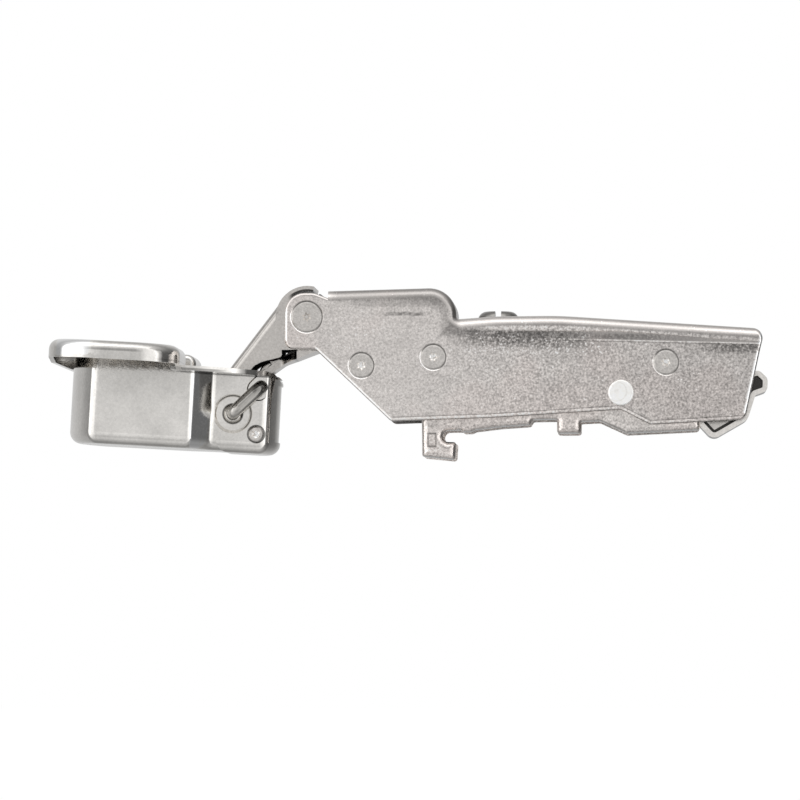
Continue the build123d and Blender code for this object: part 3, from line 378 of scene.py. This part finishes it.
def pivot_ring(tree):
    """A faint turned ring on the pivot's head, a little before its middle, with a fainter dot in the ring."""
    distance, _ = reach(tree, PIVOT_MARK)
    dot = product(tree, fall(tree, distance, 0.2, 0.6), 0.8)
    return either(tree, band(tree, distance, 1.5, 1.7), dot)


def staple_bend(tree):
    """The staple's bend at its upper leg."""
    distance, _ = reach(tree, UPPER_LEG)
    return fall(tree, distance, 0.5, 2.0)


# ---------------------------------------------------------------- marks on the arm
def above_bottom(tree):
    """Height above the arm's bottom edge."""
    x, _, z = place_mm(tree)
    return calculate(tree, "SUBTRACT", z, outline_height(tree, x, ARM_BOTTOM))


def along_bottom(tree):
    """The arm's outer faces between the two ends of its bottom edge."""
    x, _, _ = place_mm(tree)
    return product(tree, outside(tree, ARM_FACE), span(tree, x, (-9.6, -9.2), (48.4, 49.0)))


def bottom_shade_line(tree):
    """A thin line of painted shade where the arm's bottom edge starts to turn in."""
    return product(tree, band(tree, above_bottom(tree), 0.58, 0.74, 0.08), along_bottom(tree))


def bottom_highlight(tree):
    """The painted highlight along the bottom edge."""
    return product(tree, band(tree, above_bottom(tree), 0.16, 0.5, 0.08), along_bottom(tree))


def bottom_rim_shade(tree):
    """Painted shade on the cut edge below it."""
    return product(tree, span(tree, above_bottom(tree), (-0.6, -0.3), (0.02, 0.16)), along_bottom(tree))


def front_highlight(tree):
    """Painted highlights on the edges of the slanting front and of the nose."""
    x, _, z = place_mm(tree)
    slant = product(tree, band(tree, off_line(tree, *ARM_SLANT), 0.1, 0.42),
                    span(tree, x, (-22.2, -21.6), (-9.6, -9.0)))
    nose = product(tree, band(tree, x, -26.85, -26.5), span(tree, z, (15.2, 16.0), (20.6, 21.4)))
    return product(tree, either(tree, slant, nose), outside(tree, ARM_FACE))


def rear_edge_highlight(tree):
    """A painted highlight along the rear edge."""
    _, _, z = place_mm(tree)
    edge = band(tree, off_line(tree, *ARM_REAR), 0.02, 0.55, 0.1)
    return product(tree, edge, outside(tree, ARM_FACE - 0.2), rise(tree, z, 3.4, 4.2))


def depth_in_arm(tree):
    """Depth below the arm's top outline round the bump."""
    x, _, z = place_mm(tree)
    behind = calculate(tree, "MAXIMUM", calculate(tree, "SUBTRACT", x, BUMP_CORNER[0]), 0.0)
    above = calculate(tree, "MAXIMUM", calculate(tree, "SUBTRACT", z, BUMP_CORNER[1]), 0.0)
    in_bump = calculate(tree, "SUBTRACT", BUMP_RADIUS, length(tree, behind, above))
    return calculate(tree, "MAXIMUM", in_bump, calculate(tree, "SUBTRACT", ARM_TOP, z))


def soft_fold(tree):
    """Round the bump the side plates swell gently before they reach the fold."""
    x, _, _ = place_mm(tree)
    swell = product(tree, rise(tree, depth_in_arm(tree), 1.0, 3.4), BUMP_SWELL)
    return product(tree, swell, outside(tree, ARM_FACE), span(tree, x, (BUMP_FRONT, -12), (2, 9)))


def smooth_folds(tree):
    """The folds are smooth, and the arm's front is finer than its rear."""
    x, _, _ = place_mm(tree)
    folds = product(tree, rise(tree, facing_up(tree), 0.05, 0.15), 0.85)
    return either(tree, folds, product(tree, fall(tree, x, -8, 14), 0.45))


def bump_fold_shade(tree):
    """Painted shade on the bump's fold, which is darker than the fold behind it."""
    x, _, _ = place_mm(tree)
    fold = fall(tree, depth_in_arm(tree), 1.2, 2.2)
    return product(tree, fold, span(tree, x, (BUMP_FRONT, -18), (1.2, 2.2)))


def bump_shade(tree):
    """A darker band where the bump's fold ends, wider at its rear corner."""
    x, _, _ = place_mm(tree)
    widening = product(tree, rise(tree, x, -6, 0), 0.5)
    depth = calculate(tree, "SUBTRACT", depth_in_arm(tree), widening)
    side = product(tree, outside(tree, ARM_FACE), span(tree, x, (BUMP_FRONT, -14), (1.6, 2.6)))
    return product(tree, band(tree, depth, 1.25, 2.1, 0.4), side)


def painted_rear_shade(tree):
    """The arm is painted darker towards its rear end, as painted shade of uneven light."""
    x, _, _ = place_mm(tree)
    return rise(tree, x, -12, 45)


def rosy_patches(tree):
    """Faint patches in the nickel."""
    return rise(tree, noise(tree, scale=70, detail=2), 0.48, 0.62)


def above_crease(tree):
    """Height above the crease below the arm's rear fold."""
    return off_line(tree, *ARM_CREASE)


def facet_highlight(tree):
    """A painted highlight: the slanting facet below the rear fold is brighter above the painted shade streak.
    """
    x, _, _ = place_mm(tree)
    facet = band(tree, above_crease(tree), 1.3, 2.1, 0.2)
    return product(tree, facet, rise(tree, x, 3, 8), outside(tree, ARM_FACE))


def below_fold_shade(tree):
    """A coarse-grained streak of painted shade below the arm's fold, at its front and at its rear end."""
    x, _, _ = place_mm(tree)
    height = above_crease(tree)
    streak = product(tree, span(tree, height, (-2.4, -0.6), (0.9, 1.5)), span(tree, x, (-2, 6), (18, 30)))
    long_streak = product(tree, band(tree, height, 0.1, 1.0, 0.2), span(tree, x, (10, 20), (32, 42)), 0.7)
    rear_patch = product(tree, span(tree, height, (-2.1, -1.2), (-0.4, 0.0)), rise(tree, x, 38, 46))
    shaded_streak = either(tree, either(tree, streak, rear_patch), long_streak)
    grains = rise(tree, noise(tree, scale=2400, detail=3, roughness=0.7), 0.38, 0.58)
    broken = calculate(tree, "MULTIPLY_ADD", grains, 0.8, 0.2)
    return product(tree, shaded_streak, outside(tree, ARM_FACET, 0.2), broken)


def sparkle(tree):
    """Specks in the painted shade streak."""
    x, _, _ = place_mm(tree)
    zone = product(tree, band(tree, above_crease(tree), -2.4, 1.0, 0.3), span(tree, x, (1, 6), (18, 30)))
    specks = rise(tree, noise(tree, scale=2900, detail=2), 0.61, 0.68)
    return product(tree, zone, specks, outside(tree, ARM_FACET, 0.2))


def painted_crease_line(low, high):
    """A thin line along the crease, between two heights above it; the arm has a painted highlight on the
    crease and painted shade just below it.
    """
    def mask(tree):
        x, _, _ = place_mm(tree)
        along = product(tree, rise(tree, x, 14, 22), outside(tree, ARM_FACET, 0.2))
        return product(tree, band(tree, above_crease(tree), low, high, 0.05), along)
    return mask


def dent_shade(tree):
    """A patchy line of painted shade for a shallow dent on the arm's near side, below the bump."""
    x, y, z = place_mm(tree)
    wander = calculate(tree, "MULTIPLY_ADD", noise(tree, scale=500, detail=2), 0.8, -DENT_HEIGHT)
    line = fall(tree, calculate(tree, "ABSOLUTE", calculate(tree, "ADD", z, wander)), 0.14, 0.42)
    patches = rise(tree, noise(tree, scale=1500, detail=3), 0.4, 0.6)
    patchy = calculate(tree, "MULTIPLY_ADD", patches, 0.5, 0.5)
    return product(tree, line, patchy, span(tree, x, (-12, -8), (-4.8, -3.4)), fall(tree, y, -8.1, -8.0))


def arm_inside_shade(tree):
    """Painted shade inside the arm's channel."""
    _, _, z = place_mm(tree)
    return product(tree, inside(tree, ARM_CHANNEL, 0.05), fall(tree, z, 15.8, 16.4))


# ---------------------------------------------------------------- marks on the links
def outer_link_inside_shade(tree):
    """Painted shade inside the outer link's channel."""
    _, _, z = place_mm(tree)
    below_back = fall(tree, off_line(tree, *OUTER_LINK_LINE), 4.2, 4.5)
    return product(tree, inside(tree, OUTER_LINK_CHANNEL, 0.05), below_back, fall(tree, z, 21.4, 22.0))


def outer_link_fold_shade(tree):
    """A thin line of painted shade along the fold between the outer link's cheeks and its back."""
    _, _, z = place_mm(tree)
    fold = band(tree, off_line(tree, *OUTER_LINK_LINE), 4.3, 4.5)
    return product(tree, fold, fall(tree, z, 19.5, 21.5), outside(tree, OUTER_LINK_CHEEK))


def head_gap_shade(tree):
    """Painted shade in the gap between the curled head of the outer link and its cheeks."""
    x, _, z = place_mm(tree)
    distance, _ = reach(tree, OUTER_PIN)
    round_head = band(tree, distance, 3.6, 4.65, 0.08)
    return product(tree, round_head, rise(tree, z, 22.3, 22.7), rise(tree, x, -26.6, -25.6))


def inner_link_top_shade(tree):
    """Painted shade on the inner link's upper side, between the cheeks of the outer link."""
    return product(tree, inside(tree, INNER_LINK_WEB, 0.2), rise(tree, facing_up(tree), -0.1, 0.3))


def inner_link_pocket_shade(tree):
    """Painted shade on the inner link, in the pocket below the outer link's head."""
    x, _, z = place_mm(tree)
    return product(tree, band(tree, x, -28.1, -25.2, 0.15), rise(tree, z, 12.6, 12.9))


# ---------------------------------------------------------------- marks on the catch and the clip base
def catch_rim_highlight(tree):
    """A painted highlight on the catch's rim."""
    return outside(tree, CATCH_RIM)


def catch_recess(tree):
    """Shade in the recess on both sides of the catch's web."""
    return inside(tree, CATCH_WEB, 0.4)


def hook_coin_shade(tree):
    """Painted shade along the pressed outline of the coin on the clip base's front hook."""
    x, _, z = place_mm(tree)
    half_width, half_height = 0.7, 1.15
    across = calculate(tree, "DIVIDE", calculate(tree, "SUBTRACT", x, HOOK_COIN[0]), half_width)
    up = calculate(tree, "DIVIDE", calculate(tree, "SUBTRACT", z, HOOK_COIN[1]), half_height)
    far = calculate(tree, "MAXIMUM", calculate(tree, "ABSOLUTE", across), calculate(tree, "ABSOLUTE", up))
    return product(tree, band(tree, far, 0.78, 1.05, 0.1), outside(tree, HOOK_FACE))


def front_hook_painted_light(tree):
    """The front hook is painted paler than the base above it, as painted light."""
    x, _, z = place_mm(tree)
    return product(tree, fall(tree, z, 0.4, 1.4), fall(tree, x, 2.6, 3.4))


def lower_edge_highlights(tree):
    """Painted highlights along the base's lower edges."""
    return fall(tree, facing_up(tree), -0.95, -0.75)


# ---------------------------------------------------------------- marks on the cup
def above_rim_foot(tree):
    """Height above the line where the cup's rim meets its wall."""
    return off_line(tree, *RIM_FOOT)


def rim_shade_line(tree):
    """A line of painted shade where the cup's rim meets its wall."""
    x, _, _ = place_mm(tree)
    return product(tree, band(tree, above_rim_foot(tree), -0.16, 0.06), rise(tree, x, -46, -43))


def rim_edge_shade(tree):
    """Painted shade on the edge of the cup's rim at its foot, with a fainter line of painted shade at its
    top.
    """
    x, _, _ = place_mm(tree)
    top = product(tree, band(tree, above_rim_foot(tree), 1.0, 1.25), 0.6)
    lines = either(tree, band(tree, above_rim_foot(tree), 0.06, 0.42), top)
    return product(tree, lines, span(tree, x, (-47, -45), (-38, -35)))


def wall_top_shade(tree):
    """The cup's flat wall is painted darker towards its top, as painted shade."""
    x, _, z = place_mm(tree)
    flat = product(tree, outside(tree, CUP_FLAT), band(tree, x, -57.2, -42.4, 0.4))
    ragged = calculate(tree, "ADD", z, noise(tree, scale=260, detail=3))
    return product(tree, flat, rise(tree, ragged, 3.5, 10.5))


def on_step(tree):
    """The sides of the cup's slanting step."""
    _, y, _ = place_mm(tree)
    return band(tree, calculate(tree, "ABSOLUTE", y), *CUP_STEP, 0.5)


def step_shade(tree):
    """Painted shade on the cup's slanting step."""
    x, _, _ = place_mm(tree)
    return product(tree, on_step(tree), band(tree, x, -41.9, -38.2, 0.5))


def step_glow(tree):
    """A painted highlight: the step is lighter along its front edge and towards its foot."""
    x, _, z = place_mm(tree)
    light = either(tree, fall(tree, x, -41.7, -40.4), product(tree, fall(tree, z, 3.4, 5.2), 0.35))
    return product(tree, on_step(tree), band(tree, x, -42.3, -38.2, 0.3), light)


def wing_end_highlight(tree):
    """A painted highlight on the wing's end, on its side away from the arm, with a ragged lower border."""
    x, y, z = place_mm(tree)
    ragged = noise(tree, scale=900, detail=3, roughness=0.7)
    height = calculate(tree, "SUBTRACT", z, calculate(tree, "MULTIPLY_ADD", ragged, 1.6, 11.9))
    away = span(tree, x, (-63.2, -62.2), (-58, -54.5))
    return product(tree, away, fall(tree, y, -24, -22), rise(tree, height, -0.2, 0.2))


# ---------------------------------------------------------------- finishes
ROSY = (1.0, 0.978, 0.974)


def cup_nickel():
    """The cup is polished, with wide dull patches."""
    # the rim, wall, step and ring marks are painted shade, and the step's glow and the wing's end painted
    # highlights
    marks = ((rim_shade_line, 0.4), (rim_edge_shade, 0.45), (wall_top_shade, 0.9), (step_shade, 0.85), (step_glow, 2.6),
             (wing_end_highlight, 1.5), (ring_shade_line(LOWER_LEG, 3.0), 0.5),
             (ring_shade_line(LOWER_LEG, 1.6, 0.16, everywhere=True), 0.3),
             (ring_shade_line(STOP_PIN, 1.38, 0.16, everywhere=True), 0.2))
    return plated("cup_nickel", (0.785, 0.765, 0.735), roughness=0.11, grain=0.35, specks=0.08, clouds=0.75,
                  bump=0.12, waves=5.0, cloud_scale=110, marks=marks)


def link_nickel(name, marks):
    """The links are satin."""
    return plated(name, (0.66, 0.63, 0.60), roughness=0.20, grain=0.5, specks=0.1, clouds=0.3, bump=0.15,
                  marks=marks)


def shaded_rib_nickel():
    """The inner link's rib is painted darker than the link, as painted shade between the links, and grainier.
    """
    return plated("shaded_rib_nickel", (0.55, 0.53, 0.50), roughness=0.24, grain=1.6, specks=0.6, clouds=0.3,
                  bump=0.3)


def arm_nickel():
    """The arm is coarsely grained, with painted shade below its rear fold and painted highlights along its
    edges.
    """
    # most of these marks are painted shade and painted highlights; the rosy patches are the nickel's own tone
    marks = [(painted_rear_shade, 0.82), (rosy_patches, ROSY), (bump_fold_shade, 0.6), (bump_shade, 0.8),
             (facet_highlight, 1.15), (rear_edge_highlight, 2.2), (below_fold_shade, 0.33),
             (painted_crease_line(-0.12, 0.08), 1.45), (painted_crease_line(-0.36, -0.2), 0.62),
             (bottom_shade_line, 0.6), (bottom_highlight, 1.28), (bottom_rim_shade, 0.45), (front_highlight, 1.4),
             (dent_shade, 0.42), (arm_inside_shade, 0.3), (sparkle, 2.3)]
    return plated("arm_nickel", (0.785, 0.743, 0.714), roughness=0.22, grain=2.15, specks=1.4, clouds=0.2,
                  bump=0.5, grain_scale=2890, marks=marks + pin_heads, sway=soft_fold, calm=smooth_folds)


def base_nickel():
    """The clip base has the finest grain."""
    # painted light on the hook, painted shade on its coin and painted highlights on the lower edges
    marks = ((rosy_patches, ROSY), (front_hook_painted_light, 1.13), (hook_coin_shade, 0.4), (lower_edge_highlights, 1.9))
    return plated("base_nickel", (0.74, 0.70, 0.67), roughness=0.24, grain=1.8, specks=0.6, clouds=0.25,
                  bump=0.4, grain_scale=3100, marks=marks)


def catch_nickel():
    """The catch is satin, with painted shade in its recess and a painted highlight on its rim."""
    return plated("catch_nickel", (0.70, 0.675, 0.645), roughness=0.22, grain=0.5, specks=0.1, clouds=0.2,
                  bump=0.2, marks=((catch_recess, 0.10), (catch_rim_highlight, 1.3)))


def pin_nickel():
    """The pins' heads carry the same painted groove shade, glints and star highlights as the arm round them.
    """
    return plated("pin_nickel", (0.70, 0.67, 0.64), roughness=0.22, grain=0.8, specks=0.3, clouds=0.25,
                  bump=0.3, grain_scale=3000, marks=pin_heads + [(punched_star_highlight(STOP_PIN), STAR_HIGHLIGHT_TONE)])


def highlit_pivot_nickel():
    """The arm's pivot is matt, and painted paler than the other pins as a painted highlight on its head."""
    return plated("highlit_pivot_nickel", (1.0, 0.99, 0.965), roughness=0.48, grain=0.3, specks=0.0, clouds=0.35,
                  bump=0.5, grain_scale=2600, marks=((pivot_ring, 0.88),))


def screw_nickel():
    """The screws are dark and smooth."""
    return plated("screw_nickel", (0.30, 0.29, 0.275), roughness=0.14, grain=0.5, specks=0.05, clouds=0.3,
                  bump=0.2)


def staple_nickel():
    """The staple is bright wire, darker at its bend."""
    return plated("staple_nickel", (0.47, 0.455, 0.43), roughness=0.07, grain=0.3, specks=0.05, clouds=0.2,
                  bump=0.1, marks=((staple_bend, 0.5),))


def spring_wire():
    """The springs are oiled wire."""
    return plated("spring_wire", (0.30, 0.29, 0.28), roughness=0.28, grain=0.4, specks=0.1, clouds=0.2,
                  bump=0.2)


def bush_plastic():
    """Dark moulded plastic with a faint orange-peel skin."""
    material = bpy.data.materials.new("bush_plastic")
    material.use_nodes = True
    tree = material.node_tree
    shader = tree.nodes["Principled BSDF"]
    skin = noise(tree, scale=1500, detail=3)
    feed(tree, shader.inputs["Base Color"], ramp(tree, skin, ((0.3, 0.020), (0.7, 0.032))))
    feed(tree, shader.inputs["Roughness"], ramp(tree, skin, ((0.3, 0.42), (0.7, 0.55))))
    return material


pin_finish = pin_nickel()
screw_finish = screw_nickel()
spring_finish = spring_wire()
finishes = {
    "cup": cup_nickel(), "cup_staple": staple_nickel(), "cup_stop_pin": pin_finish,
    # the links' marks are painted shade
    "outer_link": link_nickel("outer_link_nickel", ((outer_link_inside_shade, 0.06), (outer_link_fold_shade, 0.62),
                                                    (head_gap_shade, 0.12))),
    "inner_link": link_nickel("inner_link_nickel", ((inner_link_top_shade, 0.1), (inner_link_pocket_shade, 0.07))),
    "hinge_arm": arm_nickel(), "outer_link_pin": pin_finish, "inner_link_pin": pin_finish,
    "spring_pin": pin_finish, "catch_pin": pin_finish, "arm_pivot_pin": highlit_pivot_nickel(),
    "clip_base": base_nickel(), "overlay_screw": screw_finish, "overlay_screw_foot": screw_finish,
    "depth_cam": screw_finish, "closing_spring": spring_finish, "catch_spring": spring_finish,
    "spring_bush": bush_plastic(), "release_catch": catch_nickel(),
}
for name, node in nodes.items():
    node.data.materials.clear()
    node.data.materials.append(finishes[name])


# ---------------------------------------------------------------- small forms left to the looks
RIB_OUTLINE = ((-31.3, 10.35), (-31.4, 11.1), (-30.8, 11.95), (-29.75, 12.55), (-29.3, 12.1), (-30.2, 10.8),
               (-30.7, 10.3))
RIB_HALF_WIDTH = 3.3
RIB_EDGE = 0.25


def build_link_rib():
    """The stiffening rib pressed up along the inner link's web, seen between the two links; its darker finish
    is painted shade.
    """
    mesh = bmesh.new()
    corners = [mesh.verts.new((x * MM, -RIB_HALF_WIDTH * MM, z * MM)) for x, z in RIB_OUTLINE]
    pushed = bmesh.ops.extrude_face_region(mesh, geom=[mesh.faces.new(corners)])["geom"]
    bmesh.ops.translate(mesh, vec=(0, 2 * RIB_HALF_WIDTH * MM, 0),
                        verts=[part for part in pushed if isinstance(part, bmesh.types.BMVert)])
    bmesh.ops.recalc_face_normals(mesh, faces=mesh.faces)
    data = bpy.data.meshes.new("inner_link_rib")
    mesh.to_mesh(data)
    mesh.free()
    rib = bpy.data.objects.new("inner_link_rib", data)
    bpy.context.scene.collection.objects.link(rib)
    edges = rib.modifiers.new("pressed edges", "BEVEL")
    edges.width = RIB_EDGE * MM
    edges.segments = 3
    for polygon in data.polygons:
        polygon.use_smooth = True
    data.materials.append(shaded_rib_nickel())
    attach(rib, "inner_link")


build_link_rib()


# ---------------------------------------------------------------- camera
LOOK_AT = Vector((-8.24, 0, 6.23)) * MM
CAMERA_DISTANCE = 1.0
CAMERA_TURN = math.radians(2.3)
CAMERA_RISE = math.radians(-2.0)
LENS = 271.35
SENSOR = 36


def build_camera():
    """A long lens, slightly to the right of the hinge and slightly below it."""
    data = bpy.data.cameras.new("camera")
    data.sensor_width = SENSOR
    data.lens = LENS
    data.clip_start = 0.05
    camera = bpy.data.objects.new("camera", data)
    bpy.context.scene.collection.objects.link(camera)
    level = math.cos(CAMERA_RISE)
    away = Vector((math.sin(CAMERA_TURN) * level, -math.cos(CAMERA_TURN) * level, math.sin(CAMERA_RISE)))
    camera.location = LOOK_AT + away * CAMERA_DISTANCE
    camera.rotation_euler = away.to_track_quat("Z", "Y").to_euler()
    bpy.context.scene.camera = camera


build_camera()


# ---------------------------------------------------------------- studio
# each side of the studio: degrees away from the camera's side, and the grey that the metal mirrors there
ABOVE = ((0, 0.76), (4, 0.72), (10, 0.40), (24, 0.38), (32, 0.60), (46, 0.95), (60, 1.30), (76, 1.20),
         (92, 0.92), (114, 0.48), (140, 0.62), (180, 0.72))
BELOW = ((0, 0.76), (5, 0.92), (25, 0.72), (35, 0.60), (46, 0.56), (57, 0.68), (68, 0.64), (81, 0.52),
         (95, 0.44), (111, 0.30), (132, 0.30), (180, 0.6))
LEFT = ((0, 0.77), (18, 0.80), (30, 1.25), (82, 1.30), (91, 0.30), (110, 0.30), (125, 0.50), (180, 0.72))
RIGHT = ((0, 0.75), (20, 0.73), (34, 1.15), (64, 1.30), (73, 0.12), (124, 0.10), (150, 0.22), (168, 0.50),
         (180, 0.7))
SIDES = (("X", 1.0, RIGHT), ("X", -1.0, LEFT), ("Z", 1.0, ABOVE), ("Z", -1.0, BELOW))
PEAK = 1.6  # the ramps hold greys up to 1, so they are kept as shares of this one

FLOOR_SIZE = 6
FLOOR_PLACE = (0, 1.0, -0.11)
FLOOR_GLOW = 1.02
FLOOR_GLOW_SHARE = 0.97


def softbox(name, place, width, height, power):
    """A rectangular lamp that faces the hinge."""
    data = bpy.data.lights.new(name, "AREA")
    data.shape = "RECTANGLE"
    data.size = width
    data.size_y = height
    data.energy = power
    lamp = bpy.data.objects.new(name, data)
    bpy.context.scene.collection.objects.link(lamp)
    lamp.location = place
    lamp.rotation_euler = (Vector(place) - LOOK_AT).to_track_quat("Z", "Y").to_euler()


def build_walls():
    """A white backdrop, and round it the greys that the metal mirrors."""
    world = bpy.data.worlds.new("studio")
    bpy.context.scene.world = world
    world.use_nodes = True
    tree = world.node_tree
    tree.nodes.clear()
    direction = tree.nodes.new("ShaderNodeTexCoord").outputs["Generated"]
    axes = add_node(tree, "ShaderNodeSeparateXYZ", Vector=direction).outputs
    angle = calculate(tree, "ARCCOSINE", calculate(tree, "MULTIPLY", axes["Y"], -1.0))
    from_camera = calculate(tree, "DIVIDE", angle, math.pi)
    squares = {axis: calculate(tree, "MULTIPLY", axes[axis], axes[axis]) for axis in "XZ"}
    spread = calculate(tree, "ADD", calculate(tree, "ADD", squares["X"], squares["Z"]), 0.0001)
    level = 0.0
    for axis, sign, profile in SIDES:
        shade = ramp(tree, from_camera, [(degrees / 180, grey / PEAK) for degrees, grey in profile])
        on_side = calculate(tree, "GREATER_THAN", calculate(tree, "MULTIPLY", axes[axis], sign), 0.0)
        share = product(tree, calculate(tree, "DIVIDE", squares[axis], spread), on_side, PEAK)
        level = calculate(tree, "ADD", calculate(tree, "MULTIPLY", shade, share), level)
    seen = tree.nodes.new("ShaderNodeLightPath").outputs["Is Camera Ray"]
    backdrop = mix_colour(tree, "MIX", seen, grey_colour(tree, level), (1, 1, 1, 1))
    glow = add_node(tree, "ShaderNodeBackground", Color=backdrop, Strength=1.0)
    add_node(tree, "ShaderNodeOutputWorld", Surface=glow.outputs[0])


def floor_white():
    """A pale floor that glows, and that is clear to all but the camera's view from above."""
    material = bpy.data.materials.new("floor_white")
    material.use_nodes = True
    tree = material.node_tree
    shader = tree.nodes["Principled BSDF"]
    feed(tree, shader.inputs["Base Color"], (0.85, 0.85, 0.85, 1))
    feed(tree, shader.inputs["Roughness"], 0.9)
    feed(tree, shader.inputs["Specular IOR Level"], 0.0)
    white = add_node(tree, "ShaderNodeEmission", Color=(1, 1, 1, 1), Strength=FLOOR_GLOW)
    pale = add_node(tree, "ShaderNodeMixShader", Fac=FLOOR_GLOW_SHARE)
    feed(tree, pale.inputs[1], shader.outputs[0])
    feed(tree, pale.inputs[2], white.outputs[0])
    seen = tree.nodes.new("ShaderNodeLightPath").outputs["Is Camera Ray"]
    under = tree.nodes.new("ShaderNodeNewGeometry").outputs["Backfacing"]
    from_above = calculate(tree, "MAXIMUM", calculate(tree, "SUBTRACT", seen, under), 0.0)
    blend = add_node(tree, "ShaderNodeMixShader", Fac=from_above)
    feed(tree, blend.inputs[1], tree.nodes.new("ShaderNodeBsdfTransparent").outputs[0])
    feed(tree, blend.inputs[2], pale.outputs[0])
    feed(tree, tree.nodes["Material Output"].inputs["Surface"], blend.outputs[0])
    return material


def build_floor():
    """A plain floor below the hinge, which is held in the air by its mounting plate."""
    bpy.ops.mesh.primitive_plane_add(size=FLOOR_SIZE, location=FLOOR_PLACE)
    floor = bpy.context.object
    floor.name = "floor"
    floor.data.materials.append(floor_white())


softbox("top_box", (0.0, -0.32, 0.78), width=1.0, height=0.4, power=0.5)
softbox("left_box", (-0.75, -0.30, 0.05), width=0.3, height=0.7, power=0.25)
softbox("right_box", (0.75, -0.32, 0.05), width=0.25, height=0.7, power=0.2)
build_walls()
build_floor()
bpy.context.scene.view_settings.view_transform = "Standard"
